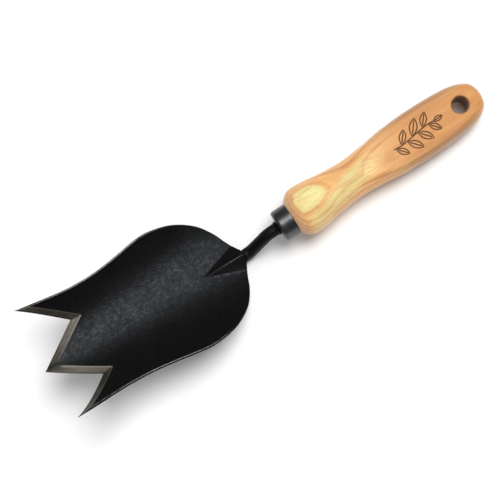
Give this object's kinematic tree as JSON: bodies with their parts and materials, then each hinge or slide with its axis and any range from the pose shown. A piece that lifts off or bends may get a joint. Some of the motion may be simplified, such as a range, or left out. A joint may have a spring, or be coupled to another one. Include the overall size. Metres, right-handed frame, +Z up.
{
  "type": "hand transplanter",
  "caption": "Hand transplanter: dished steel blade with pointed ground teeth, cranked round shank, steel ferrule and turned ash handle with a hanging hole.",
  "frame": {"origin": "centre of the bounding box on the surface that the tool lies on, dish upwards", "axes": "+X along the tool towards the butt of the handle, +Y across the blade, +Z up out of the dish"},
  "size_m": [0.327, 0.0866, 0.0658],
  "materials": {
    "black_paint": "near-black satin paint with a fine speckle, bare ground steel on the notch bevels",
    "forged_black": "near-black satin paint over forged steel",
    "weld_black": "painted weld bead, slightly rippled",
    "ferrule_steel": "dark grey satin steel with a soft streak of light",
    "ash_wood": "satin oiled ash with orange-brown growth rings"
  },
  "bodies": {
    "root": {"blade": "black_paint", "shank": "forged_black", "weld_left": "weld_black", "weld_right": "weld_black", "ferrule": "ferrule_steel", "handle": "ash_wood"}
  },
  "joints": []
}
